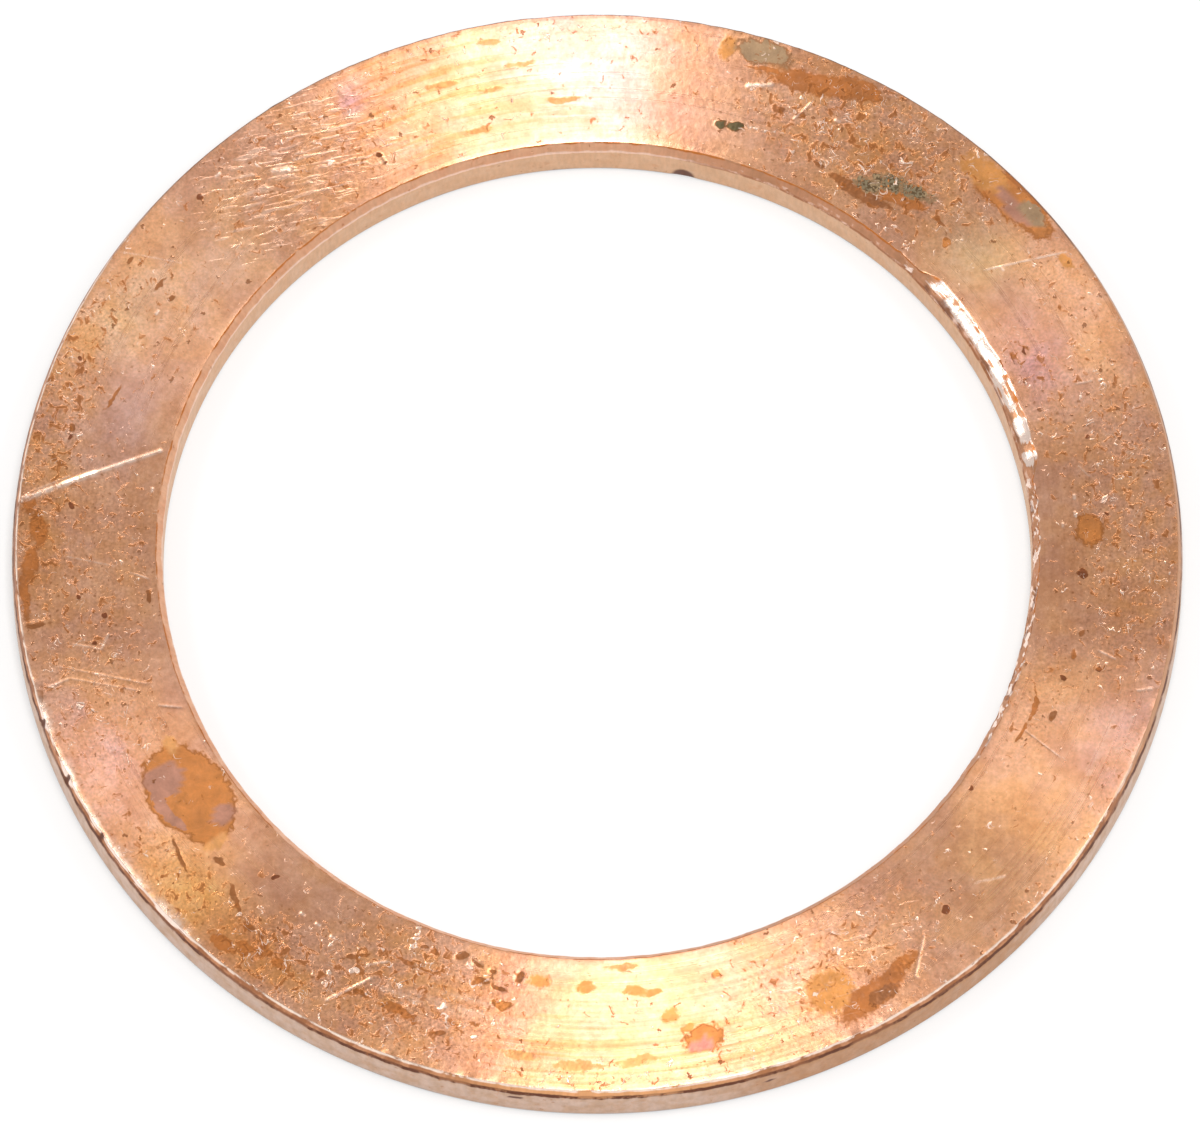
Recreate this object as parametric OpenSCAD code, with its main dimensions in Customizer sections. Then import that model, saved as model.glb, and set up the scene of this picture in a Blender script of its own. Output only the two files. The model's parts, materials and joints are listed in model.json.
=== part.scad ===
// Flat copper sealing washer.
// One solid ring, punched and turned from copper sheet: no seam, no filling and no second piece.
// It lies on its underside, centred on the origin, with its bore along Z. The side that faces up
// is the one with the bevelled edges.

/* [Ring] */
// Diameter of the thread that passes through the bore
thread_d = 25.4; // [20:0.1:27]
// Gap on each side between that thread and the bore
thread_gap = 0.25; // [0.1:0.05:0.6]
// Outside diameter
outer_d = 34.9; // [33:0.1:48]
// Thickness
thick = 1.6; // [1.2:0.05:4]

/* [Edges] */
// How far the upper bevel cuts into the rim, measured along the radius
rim_bevel_w = 0.12; // [0.05:0.01:0.4]
// How far the upper bevel comes down the rim
rim_bevel_h = 0.45; // [0.1:0.05:0.6]
// How far the upper bevel cuts into the bore's edge, measured along the radius
bore_bevel_w = 0.2; // [0.05:0.01:0.4]
// How far the upper bevel goes down the bore
bore_bevel_h = 0.3; // [0.1:0.05:0.6]
// Small 45 degree break on both edges of the underside
under_break = 0.06; // [0.02:0.01:0.15]

/* [Hidden] */
bore_r = thread_d / 2 + thread_gap;
outer_r = outer_d / 2;
$fn = 180;

// Half of the ring's cross-section, with radius along X and height along Y.
module ring_section() {
    polygon([
        [bore_r + under_break, 0],
        [outer_r - under_break, 0],
        [outer_r, under_break],
        [outer_r, thick - rim_bevel_h],
        [outer_r - rim_bevel_w, thick],
        [bore_r + bore_bevel_w, thick],
        [bore_r, thick - bore_bevel_h],
        [bore_r, under_break]
    ]);
}

// The whole washer: the section turned once around the bore's axis.
module washer() {
    color([0.80, 0.50, 0.36]) rotate_extrude() ring_section();
}

washer();
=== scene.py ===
import json
import math

import bmesh
import bpy
from mathutils import Matrix, Vector, noise


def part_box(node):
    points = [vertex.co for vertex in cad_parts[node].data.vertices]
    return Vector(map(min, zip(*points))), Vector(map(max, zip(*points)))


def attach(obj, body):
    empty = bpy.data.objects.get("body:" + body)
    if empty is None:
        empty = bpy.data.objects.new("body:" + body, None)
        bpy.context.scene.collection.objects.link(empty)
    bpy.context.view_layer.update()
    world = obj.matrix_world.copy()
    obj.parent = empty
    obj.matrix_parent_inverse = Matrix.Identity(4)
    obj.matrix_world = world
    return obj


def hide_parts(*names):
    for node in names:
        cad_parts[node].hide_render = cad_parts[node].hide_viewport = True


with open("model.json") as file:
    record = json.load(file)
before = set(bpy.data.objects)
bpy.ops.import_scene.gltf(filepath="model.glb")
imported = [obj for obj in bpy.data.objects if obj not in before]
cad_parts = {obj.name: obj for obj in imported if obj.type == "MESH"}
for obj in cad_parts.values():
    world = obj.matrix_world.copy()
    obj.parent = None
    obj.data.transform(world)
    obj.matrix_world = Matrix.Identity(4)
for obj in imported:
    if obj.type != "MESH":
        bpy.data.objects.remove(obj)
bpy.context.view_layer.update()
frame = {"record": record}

MM = 0.001

# ---------------------------------------------------------------- sizes of the ring, in metres
RING_LOW, RING_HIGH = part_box("washer")
OUTER_R = RING_HIGH.x
THICK = RING_HIGH.z
BORE_R = next(m["dims"]["r_mm"] for m in frame["record"]["mounts"] if m["name"] == "bore") * MM
RIM_BEVEL_W = 0.12 * MM
RIM_BEVEL_H = 0.45 * MM
RIM_BAND_LIFT = 0.09
BORE_BEVEL_W = 0.20 * MM
BORE_BEVEL_H = 0.30 * MM
UNDER_BREAK = 0.06 * MM

# ---------------------------------------------------------------- fineness of the mesh
TURN_STEPS = 720
CORNER_ROUND = 0.035 * MM
ARC_PULL = 1 - math.sqrt(0.5)
FACE_STEP = 0.17 * MM
BEVEL_STEP = 0.06 * MM
WALL_STEP = 0.14 * MM
UNDER_STEP = 0.70 * MM
MARK_CUTS = 3
SMALL_MARK = 0.46
CRISP_EDGE, SOFT_EDGE = 0.42, 1.40

# ---------------------------------------------------------------- camera, floor and light
CAMERA_ELEVATION = 67.9
CAMERA_DISTANCE = 41.8 * OUTER_R
CAMERA_LENS = 733.0
AIM_RIGHT = 0.08 * MM
AIM_UP = -0.04 * MM
FLOOR_SIZE = 6.0

# ---------------------------------------------------------------- colours of copper and of what grows on it
TARNISHED = (0.84, 0.45, 0.275)
TARNISHED_DARK = (0.70, 0.345, 0.205)
FRESH = (1.00, 0.75, 0.61)
RIM_WALL = (0.62, 0.43, 0.33)
RIM_WALL_DARK = (0.57, 0.37, 0.25)
RIM_WALL_BROWN = (0.50, 0.25, 0.115)
BORE_WALL = (0.67, 0.41, 0.245)
BORE_BEVEL = (0.54, 0.27, 0.15)
BORE_BEVEL_PALE = (0.79, 0.44, 0.27)
# Painted highlight colour: the line along the bore bevel's foot and the glints above it.
RIDGE_HIGHLIGHT = (0.84, 0.57, 0.44)
RIM_BEVEL = (0.40, 0.16, 0.07)
RIM_BEVEL_PALE = (0.62, 0.29, 0.15)
RIM_BEVEL_GOLD = (0.90, 0.46, 0.21)
RIM_BEVEL_PLAIN = (0.60, 0.32, 0.18)
# Painted highlight colour for the near half of the rim's top corner and of the face's outer edge.
BURR_HIGHLIGHT = (1.00, 0.80, 0.67)
BURNISHED = (1.00, 0.78, 0.67)
DARK_LINE = (0.15, 0.055, 0.03)
# Painted shade colour: the far half of the rim's top corner and of the face's outer edge, and the foot of the walls.
PAINTED_SHADE_LINE = (0.13, 0.085, 0.07)
PIT = (0.27, 0.095, 0.03)
RUST = (0.56, 0.19, 0.048)
ORANGE = (0.72, 0.27, 0.07)
AMBER = (0.82, 0.36, 0.10)
GOLD = (0.86, 0.42, 0.15)
BROWN = (0.36, 0.125, 0.038)
RED_BROWN = (0.20, 0.048, 0.016)
VIOLET = (0.56, 0.27, 0.19)
ROSE = (0.82, 0.29, 0.23)
WATER = (0.45, 0.31, 0.18)
CRUST = (0.33, 0.22, 0.12)
CRUST_DARK = (0.11, 0.07, 0.035)
CRUST_GREY = (0.21, 0.165, 0.10)
GREEN = (0.07, 0.085, 0.035)

# ---------------------------------------------------------------- marks of use on the upper face
# Scratches: angle and radius (mm) of both ends, width (mm), depth (mm) and how bright the cut metal is.
SCRATCHES = [
    (174.6, 17.12, 170.9, 15.20, 0.190, 0.016, 1.0),
    (172.6, 16.05, 166.5, 13.40, 0.135, 0.014, 1.0),
    (173.9, 17.00, 171.6, 15.90, 0.060, 0.007, 0.55),
    (34.3, 17.00, 37.8, 14.65, 0.070, 0.010, 0.85),
    (146.0, 17.10, 143.5, 15.50, 0.045, 0.008, 0.55),
    (193.3, 16.50, 198.0, 14.10, 0.045, 0.006, 0.38),
    (195.0, 16.20, 198.5, 14.40, 0.045, 0.006, 0.38),
    (191.2, 15.90, 192.5, 15.05, 0.050, 0.006, 0.5),
    (192.4, 15.10, 190.8, 14.80, 0.070, 0.008, 0.6),
    (195.3, 16.90, 195.0, 16.30, 0.080, 0.009, 0.75),
    (201.2, 13.95, 202.4, 13.40, 0.080, 0.009, 0.75),
    (183.3, 13.90, 184.2, 13.40, 0.060, 0.008, 0.65),
    (181.0, 15.80, 182.3, 14.40, 0.050, 0.006, 0.5),
    (70.8, 15.90, 73.2, 15.65, 0.130, 0.012, 1.0),
    (66.0, 15.80, 67.0, 15.10, 0.060, 0.008, 0.65),
    (304.5, 16.60, 308.0, 15.70, 0.055, 0.010, 0.5),
    (316.3, 15.50, 319.0, 16.00, 0.075, 0.009, 0.75),
    (241.0, 16.50, 244.0, 15.30, 0.080, 0.009, 0.75),
    (243.0, 14.95, 244.8, 14.60, 0.090, 0.009, 0.75),
    (344.7, 17.10, 344.1, 16.70, 0.075, 0.009, 0.75),
    (347.0, 15.80, 347.5, 15.30, 0.070, 0.008, 0.65),
    (334.0, 15.30, 335.3, 14.00, 0.055, 0.007, 0.55),
    (20.1, 15.70, 20.3, 15.25, 0.070, 0.008, 0.65),
    (9.0, 14.85, 10.4, 14.60, 0.055, 0.007, 0.55),
    (127.2, 15.35, 128.6, 15.60, 0.120, 0.014, 0.8),
]

# Polished lines that run round the ring: from and to (degrees), radius and width (mm), and how bright they are.
HOOP_LINES = [
    (243.0, 259.0, 15.32, 0.16, 0.50),
    (250.5, 258.5, 14.95, 0.10, 0.55),
    (246.0, 252.0, 15.62, 0.07, 0.40),
    (331.0, 343.0, 16.25, 0.12, 0.25),
    (108.0, 119.0, 14.10, 0.10, 0.35),
    (186.0, 191.0, 16.20, 0.06, 0.25),
]

# Bright nicks: angle and radius (mm).
NICKS = [(4.4, 14.28), (6.6, 14.32), (3.0, 13.90), (16.0, 13.55), (36.7, 15.10), (133.3, 16.60), (172.0, 13.40),
         (174.8, 17.25), (233.3, 14.60), (235.5, 14.60), (237.8, 14.70), (150.0, 15.20), (62.5, 15.60)]
NICK_SIZE = 0.09

# Stains and specks: angle, radius, length round the ring and height across it (mm), tilt in degrees clockwise.
# A later stain lies over an earlier one.
STAINS = [
    (ORANGE, [(42.0, 16.75, 3.2, 1.25, -4), (213.0, 14.40, 3.45, 2.45, 0), (281.3, 15.95, 1.25, 0.85, 0),
              (258.9, 14.85, 0.65, 0.28, 0), (43.5, 14.30, 0.32, 0.32, 30), (2.4, 14.65, 1.05, 0.80, 0)]),
    (GOLD, [(107.0, 15.7, 0.9, 0.2, 10), (98.5, 15.8, 1.1, 0.2, 0), (101.2, 16.7, 0.8, 0.2, 0),
            (104.5, 14.0, 1.0, 0.2, 0), (102.0, 15.2, 0.9, 0.16, 0), (94.0, 14.6, 1.2, 0.2, 0),
            (262.0, 16.3, 1.1, 0.3, 0), (268.0, 16.5, 1.6, 0.3, 0), (274.0, 16.4, 1.3, 0.3, 0)]),
    (AMBER, [(262.8, 13.90, 0.85, 0.46, -10), (268.5, 14.05, 0.62, 0.46, 0), (274.5, 14.20, 0.80, 0.30, 15),
             (276.6, 14.27, 0.5, 0.2, 0), (278.0, 15.00, 0.50, 0.46, 0), (280.0, 15.45, 0.45, 0.24, 0),
             (284.5, 14.1, 0.3, 0.2, 0),
             (76.7, 16.72, 0.50, 1.00, 0), (296.2, 15.78, 1.65, 1.45, 0), (33.5, 16.85, 0.65, 0.42, 0),
             (45.9, 16.75, 1.9, 0.9, 0)]),
    (GOLD, [(273.3, 13.40, 0.9, 0.22, 0), (206.4, 14.2, 0.7, 0.5, 0), (219.6, 14.7, 0.5, 0.9, 0)]),
    (RUST, [(66.5, 16.45, 3.4, 0.75, -10), (62.0, 16.85, 1.6, 0.60, 0),
            (51.6, 14.50, 1.9, 0.50, -15), (181.6, 16.90, 1.3, 0.42, 10), (184.9, 17.10, 1.6, 0.28, 0),
            (299.6, 16.42, 2.7, 0.80, -10), (304.0, 16.12, 1.3, 0.42, -10), (26.0, 13.90, 0.46, 0.30, 0),
            (231.0, 16.5, 0.6, 0.4, 0), (232.6, 16.2, 0.5, 0.5, 30), (234.6, 16.3, 0.5, 0.3, 0), (178.2, 16.7, 1.0, 0.6, 0),
            (175.6, 17.0, 0.6, 0.35, 0), (346.5, 14.60, 0.42, 0.12, -10), (161.6, 15.25, 0.85, 0.12, 8),
            (248.0, 15.90, 1.5, 0.28, 8), (228.8, 16.8, 1.0, 0.4, 0), (41.6, 17.25, 2.6, 0.2, 0),
            (71.8, 16.30, 1.4, 0.16, -4), (338.0, 13.95, 1.0, 0.14, 0), (334.8, 13.9, 0.7, 0.14, 0)]),
    (BROWN, [(55.2, 13.90, 2.0, 0.42, -4), (58.4, 14.00, 0.9, 0.42, 0), (301.0, 16.52, 1.3, 0.4, -5),
             (69.1, 15.20, 0.46, 0.30, 0), (66.3, 15.36, 0.3, 0.2, 0), (61.9, 14.15, 0.42, 0.2, 0),
             (260.4, 13.86, 0.30, 0.46, 20), (258.2, 14.36, 0.52, 0.18, 10), (256.3, 14.26, 0.42, 0.18, 0),
             (252.8, 13.70, 0.46, 0.28, -15), (255.0, 13.76, 0.42, 0.2, 10), (257.0, 13.86, 0.30, 0.22, 0),
             (248.2, 13.70, 0.36, 0.18, 0), (249.7, 13.80, 0.22, 0.22, 0), (247.2, 14.36, 0.8, 0.2, 8),
             (241.5, 14.75, 1.0, 0.14, -38), (253.3, 16.15, 0.62, 0.18, 0), (188.2, 16.90, 0.22, 0.6, 0),
             (222.0, 15.05, 0.46, 0.26, -20), (226.2, 15.52, 1.2, 0.2, 22), (218.6, 15.80, 1.2, 0.12, 14),
             (186.8, 13.40, 0.46, 0.15, 0), (166.2, 16.20, 0.34, 0.20, 0), (147.0, 15.62, 0.44, 0.15, 15),
             (147.5, 15.05, 0.22, 0.2, 0), (146.8, 16.80, 0.26, 0.16, 0), (45.5, 14.75, 0.5, 0.15, 0),
             (338.6, 14.55, 0.32, 0.2, 0), (349.4, 14.62, 0.32, 0.15, 0), (196.0, 17.3, 0.5, 0.2, 0),
             (231.8, 16.0, 0.7, 0.2, 30), (229.5, 15.9, 0.4, 0.3, 0), (243.5, 15.8, 0.6, 0.16, 0),
             (131.5, 13.3, 1.2, 0.1, 0)]),
    (RED_BROWN, [(311.5, 15.55, 0.32, 0.28, 0), (356.8, 14.42, 0.46, 0.30, -20), (4.2, 15.27, 0.2, 0.13, -20),
                 (13.6, 15.05, 0.18, 0.15, 0), (343.1, 14.42, 0.22, 0.14, 0), (227.8, 14.20, 0.2, 0.2, 0),
                 (136.1, 16.45, 0.2, 0.26, 0), (167.4, 16.22, 0.16, 0.12, 0), (175.3, 15.75, 0.24, 0.18, 0),
                 (191.4, 15.25, 0.2, 0.16, 0), (185.7, 15.55, 0.18, 0.18, 0), (188.6, 14.80, 0.2, 0.2, 0),
                 (325.3, 13.50, 0.2, 0.15, 0), (26.5, 14.30, 0.42, 0.1, 8), (158.7, 16.65, 0.16, 0.16, 0),
                 (117.0, 14.3, 0.16, 0.14, 0), (117.0, 14.0, 0.16, 0.12, 0), (345.2, 15.4, 0.2, 0.14, 0)]),
    (VIOLET, [(210.0, 14.85, 1.05, 1.30, 0), (213.2, 15.25, 2.0, 0.42, 0), (217.6, 13.95, 0.6, 0.9, 0),
              (41.6, 16.62, 1.7, 0.62, 6)]),
    (ROSE, [(281.0, 16.15, 0.90, 0.48, 0)]),
    (WATER, [(39.6, 16.90, 1.15, 0.72, 0), (72.6, 16.86, 1.85, 0.98, 0)]),
    (CRUST, [(50.4, 14.95, 1.25, 0.44, -20), (53.3, 14.70, 1.5, 0.56, -20), (55.4, 14.28, 0.9, 0.5, -10)]),
    (GREEN, [(73.1, 14.25, 0.50, 0.34, 0), (74.9, 14.20, 0.46, 0.30, 0)]),
]

# Soft tints of thin oxide, partly painted highlight: the whitening tint at 91° lies over the top highlight fan, and
# several lightening tints lie where the side lamps' fans fall. Angle, radius, half-length in degrees, half-height (mm)
# and what multiplies the copper.
OXIDE_AND_SHEEN_TINTS = [
    (25, 14.4, 5, 0.9, (0.96, 0.98, 1.45)),
    (205, 16.2, 6, 1.1, (1.06, 1.10, 1.45)),
    (339, 16.6, 7, 1.0, (1.04, 1.08, 1.40)),
    (40, 14.8, 5, 1.2, (0.98, 1.16, 1.08)),
    (163, 14.6, 6, 0.9, (1.00, 1.08, 1.30)),
    (117, 16.3, 1.8, 0.4, (0.86, 0.84, 1.25)),
    (222, 16.4, 6, 1.0, (1.16, 1.14, 0.74)),
    (325, 15.6, 8, 1.8, (1.14, 1.13, 0.95)),
    (152, 16.2, 6, 1.0, (1.02, 1.15, 1.10)),
    (26, 16.2, 7, 1.3, (1.16, 1.20, 1.16)),
    (231, 16.4, 5, 0.8, (0.94, 0.78, 0.60)),
    (178, 16.6, 6, 0.8, (0.94, 0.84, 0.66)),
    (247, 15.4, 7, 1.2, (0.94, 0.90, 0.82)),
    (54, 15.4, 8, 1.6, (0.94, 0.92, 0.86)),
    (352, 15.0, 9, 2.2, (0.97, 0.94, 0.90)),
    (272, 15.2, 14, 2.6, (0.98, 0.85, 0.82)),
    (285, 15.0, 6, 2.6, (0.94, 0.88, 0.88)),
    # Painted highlight: this whitening tint covers the top highlight fan.
    (91, 15.2, 8, 2.5, (1.06, 1.10, 1.60)),
    (178, 15.0, 16, 2.6, (1.07, 1.09, 1.14)),
    (220, 14.6, 7, 1.6, (1.14, 1.10, 1.00)),
    (143, 14.6, 12, 2.0, (1.00, 1.09, 1.13)),
    (320, 15.0, 6, 2.4, (0.86, 0.88, 0.86)),
    (341, 14.6, 6, 2.2, (1.11, 1.11, 1.04)),
]

# Painted highlight streaks: where the turning lines are tinted gold to break up the highlight fans. Angle, radius,
# half-length in degrees, half-height (mm), how much.
FAN_STREAK_ZONES = [
    (110, 15.4, 12, 2.4, 0.75),
    (96, 14.2, 9, 1.0, 0.60),
    (266, 15.8, 10, 1.7, 0.70),
    (280, 16.2, 8, 1.0, 0.75),
]

# Wear: angle, radius, half-length in degrees, half-height (mm), and how much dirt, rubbing and nicks there are.
WEAR = [
    (0, 17.2, 400, 0.55, 0.30, 0.0, 0.5),
    (168, 16.6, 20, 0.9, 0.95, 0.1, 0.5),
    (182, 15.0, 14, 1.6, 0.60, 0.1, 0.4),
    (198, 15.8, 10, 1.6, 0.65, 0.1, 0.8),
    (212, 16.8, 9, 0.6, 0.45, 0.0, 0.3),
    (221, 16.4, 7, 0.9, 0.80, 0.0, 0.3),
    (234, 16.2, 8, 1.1, 1.00, 0.0, 0.9),
    (248, 15.2, 11, 2.0, 0.95, 0.1, 0.9),
    (299, 15.0, 12, 1.8, 0.55, 0.5, 0.7),
    (341, 14.0, 9, 0.8, 0.50, 0.2, 0.2),
    (4, 16.0, 20, 1.6, 0.70, 0.0, 0.75),
    (20, 14.2, 10, 0.9, 0.60, 0.0, 0.6),
    (32, 16.2, 8, 1.0, 0.45, 0.0, 0.4),
    (58, 15.4, 14, 1.9, 0.90, 0.1, 1.0),
    (126, 15.2, 12, 2.2, 0.60, 1.0, 0.4),
    (150, 15.4, 8, 1.8, 0.35, 0.1, 0.2),
]

# Marks on the walls: angle, height (mm), half-length and half-height (mm), and how deep it goes.
WALL_NOTCHES = [
    ("bore", 78.5, 0.0, 0.46, 0.72, 0.02),
    ("rim", 198.6, 1.35, 0.16, 0.30, 0.07),
    ("rim", 205.0, 1.45, 0.14, 0.25, 0.06),
    ("rim", 212.0, 1.50, 0.10, 0.20, 0.05),
    ("rim", 262.0, 0.95, 0.30, 0.12, 0.02),
    ("rim", 287.0, 0.80, 0.22, 0.10, 0.02),
]

# Bites of a thread in the torn stretch: angle and half-width in degrees.
THREAD_BITES = [(336.3, 0.30), (341.0, 0.40), (342.4, 0.20), (349.4, 0.45), (353.9, 0.30), (358.6, 0.50),
                (0.4, 0.20), (3.1, 0.30), (5.2, 0.40), (7.6, 0.30), (45.4, 0.45)]

# The torn stretch of the bore's edge, and the part of it that is burnished flat: from and to, in degrees.
TORN = (-32.0, 47.5)
BURNISH = (9.5, 43.0)

# The hammered facet: its width, and the radius beyond the bore, depth and share of the bevel of its foot.
FACET_TOP = 0.50 * MM
FACET_FOOT = (0.10 * MM, 0.155 * MM, 0.60)
FACET_FADE = 0.80 * MM

# The stretch of the rim whose bevel is rubbed bright: from and to, in degrees.
BRIGHT_RIM = (194.0, 228.0)


# ================================================================ the ring's shape
def ring_section():
    """The eight corners of the ring's cross-section, as radius and height."""
    return [
        (BORE_R + UNDER_BREAK, 0.0),
        (OUTER_R - UNDER_BREAK, 0.0),
        (OUTER_R, UNDER_BREAK),
        (OUTER_R, THICK - RIM_BEVEL_H),
        (OUTER_R - RIM_BEVEL_W, THICK),
        (BORE_R + BORE_BEVEL_W, THICK),
        (BORE_R, THICK - BORE_BEVEL_H),
        (BORE_R, UNDER_BREAK),
    ]


def rounded(corners):
    """The section with every corner turned into a short arc of three points."""
    points = []
    for before, corner, after in zip(corners[-1:] + corners[:-1], corners, corners[1:] + corners[:1]):
        corner = Vector(corner)
        start = corner + (Vector(before) - corner).normalized() * CORNER_ROUND
        end = corner + (Vector(after) - corner).normalized() * CORNER_ROUND
        points += [start, (start + end) * ARC_PULL + corner * (1 - 2 * ARC_PULL), end]
    return points


def turned_ring():
    """The rounded section spun once round the bore's axis."""
    ring = bmesh.new()
    corners = [ring.verts.new((radius, 0.0, height)) for radius, height in rounded(ring_section())]
    sides = [ring.edges.new((a, b)) for a, b in zip(corners, corners[1:] + corners[:1])]
    bmesh.ops.spin(ring, geom=corners + sides, cent=(0, 0, 0), axis=(0, 0, 1),
                   angle=math.tau, steps=TURN_STEPS, use_merge=True)
    bmesh.ops.recalc_face_normals(ring, faces=ring.faces)
    return in_order(ring)


def in_order(ring):
    """The same faces put in a fixed order, because the spin's own order differs from run to run."""
    ring.verts.index_update()
    ordered = bmesh.new()
    verts = [ordered.verts.new(vert.co) for vert in ring.verts]
    loops = []
    for face in ring.faces:
        loop = [vert.index for vert in face.verts]
        first = loop.index(min(loop))
        loops.append(loop[first:] + loop[:first])
    for loop in sorted(loops):
        ordered.faces.new([verts[index] for index in loop])
    ring.free()
    return ordered


def runs_across(edge):
    """True for an edge that lies in the section, and False for one that runs round the ring."""
    a, b = (vert.co for vert in edge.verts)
    step = math.tau / TURN_STEPS * OUTER_R
    return abs(math.atan2(a.x * b.y - a.y * b.x, a.x * b.x + a.y * b.y)) * OUTER_R < 0.1 * step


def band_step(middle, slope):
    """How long the pieces of a section edge are, by the part of the ring that it lies on."""
    if slope > 0.98:
        return WALL_STEP
    if slope > 0.05:
        return BEVEL_STEP
    return FACE_STEP if middle.z > THICK / 2 else UNDER_STEP


def divide_bands(ring):
    """Cuts every band of the ring into narrower hoops."""
    bands = {}
    for edge in ring.edges:
        if runs_across(edge):
            a, b = (vert.co for vert in edge.verts)
            middle = (a + b) / 2
            key = (round(middle.xy.length * 1e6), round(middle.z * 1e6))
            bands.setdefault(key, []).append(edge)
    for edges in bands.values():
        a, b = (vert.co for vert in edges[0].verts)
        long = (a - b).length
        cuts = round(long / band_step((a + b) / 2, abs(a.z - b.z) / long)) - 1
        if cuts > 0:
            bmesh.ops.subdivide_edges(ring, edges=edges, cuts=cuts, use_grid_fill=True)


def polar(angle, radius):
    """A point on the upper face, from degrees and millimetres."""
    turn = math.radians(angle)
    return Vector((math.cos(turn), math.sin(turn))) * radius * MM


def off_line(point, start, end):
    """How far a point of the face is from a straight scratch."""
    run = end - start
    along = max(0.0, min(1.0, (point - start).dot(run) / run.length_squared))
    return (point - start - run * along).length


def off_stain(point, stain):
    """How far a point is from a stain's middle, where 1 is its edge."""
    angle, radius, long, high, tilt = stain
    reach = point - polar(angle, radius)
    lean = math.radians(angle + 90 - tilt)
    round_way = Vector((math.cos(lean), math.sin(lean)))
    across_way = Vector((round_way.y, -round_way.x))
    return math.hypot(reach.dot(round_way) / (long * MM / 2), reach.dot(across_way) / (high * MM / 2))


def turn_of(point):
    """The angle of a point round the ring, from 0 to 360 degrees."""
    return math.degrees(math.atan2(point.y, point.x)) % 360


def turn_gap(first, second):
    """The shorter way round from one angle to another, in degrees."""
    return abs((first - second + 180) % 360 - 180)


def on_top(co):
    return co.z > THICK - 0.002 * MM


def scratch_lines():
    """The scratches with their ends as points, in metres, and the middle and reach of each."""
    lines = []
    nicks = [(angle - 0.2, radius, angle + 0.2, radius, NICK_SIZE, 0.016, 1.0) for angle, radius in NICKS]
    for a0, r0, a1, r1, width, depth, bright in SCRATCHES + nicks:
        start, end = polar(a0, r0), polar(a1, r1)
        reach = (end - start).length / 2 + width * MM * 2
        lines.append(((start + end) / 2, reach, start, end, width * MM, depth * MM, bright))
    return lines


def small_marks():
    """The stains that are small enough to be pits, and the crust."""
    return [stain for colour, stains in STAINS for stain in stains
            if min(stain[2:4]) < SMALL_MARK or colour == CRUST]


def refine_marks(ring, lines):
    """Gives the face small facets at every scratch and small speck, so that they are real hollows."""
    specks = small_marks()
    near = set()
    for face in ring.faces:
        middle = face.calc_center_median()
        if not on_top(middle):
            continue
        spot = middle.xy
        for centre, reach, start, end, width, _, _ in lines:
            if (spot - centre).length < reach and off_line(spot, start, end) < width + 0.06 * MM:
                near.add(face)
                break
        else:
            for stain in specks:
                away = (spot - polar(stain[0], stain[1])).length
                if away < (stain[2] / 2 + 0.15) * MM and off_stain(spot, stain) < 1.9:
                    near.add(face)
                    break
    edges = [edge for edge in ring.edges if any(face in near for face in edge.link_faces)]
    bmesh.ops.subdivide_edges(ring, edges=edges, cuts=MARK_CUTS, use_grid_fill=True)


def cut_scratches(ring, lines):
    """Sinks each scratch into the face and stores how bright the cut metal is."""
    bright_layer = ring.verts.layers.float.new("cut")
    for vert in ring.verts:
        if not on_top(vert.co):
            continue
        spot = vert.co.xy
        for centre, reach, start, end, width, depth, bright in lines:
            if (spot - centre).length > reach:
                continue
            across = off_line(spot, start, end) / (width / 2)
            if across < 3:
                groove = math.exp(-across * across * 1.4)
                vert.co.z -= depth * groove
                vert[bright_layer] = max(vert[bright_layer], bright * groove)


def polish_hoops(ring):
    """Stores the polished hoop lines, which fade at both ends."""
    layer = ring.verts.layers.float.get("cut")
    for vert in ring.verts:
        if on_top(vert.co):
            turn, radius = turn_of(vert.co), vert.co.xy.length / MM
            for start, end, middle, width, bright in HOOP_LINES:
                across = abs(radius + 0.05 * hoop_noise(turn, 9, middle) - middle) / width
                if across < 1 and start < turn < end:
                    shine = bright * (1 - across) * share_within(turn, (start, end), 3)
                    vert[layer] = max(vert[layer], shine)


def sink_specks(ring):
    """Sinks the small stains a little, each with a rough floor."""
    specks = [(stain, polar(stain[0], stain[1]), max(stain[2:4]) * MM) for stain in small_marks()]
    for vert in ring.verts:
        if not on_top(vert.co):
            continue
        spot = vert.co.xy
        for stain, middle, reach in specks:
            if (spot - middle).length < reach:
                hollow = max(0.0, 1 - off_stain(spot, stain) ** 2)
                rough = noise.noise(Vector((spot.x, spot.y, 0)) / (0.09 * MM))
                vert.co.z -= hollow * (0.007 + 0.008 * rough) * MM


def warped(spot):
    """A point of the face moved about a little by noise, once slowly and once finely."""
    slow = noise.noise_vector(Vector((spot.x, spot.y, 0.0)) / (0.8 * MM)).xy * 0.15 * MM
    fast = noise.noise_vector(Vector((spot.x, spot.y, 0.0)) / (0.17 * MM)).xy * 0.07 * MM
    return spot + slow + fast


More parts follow.
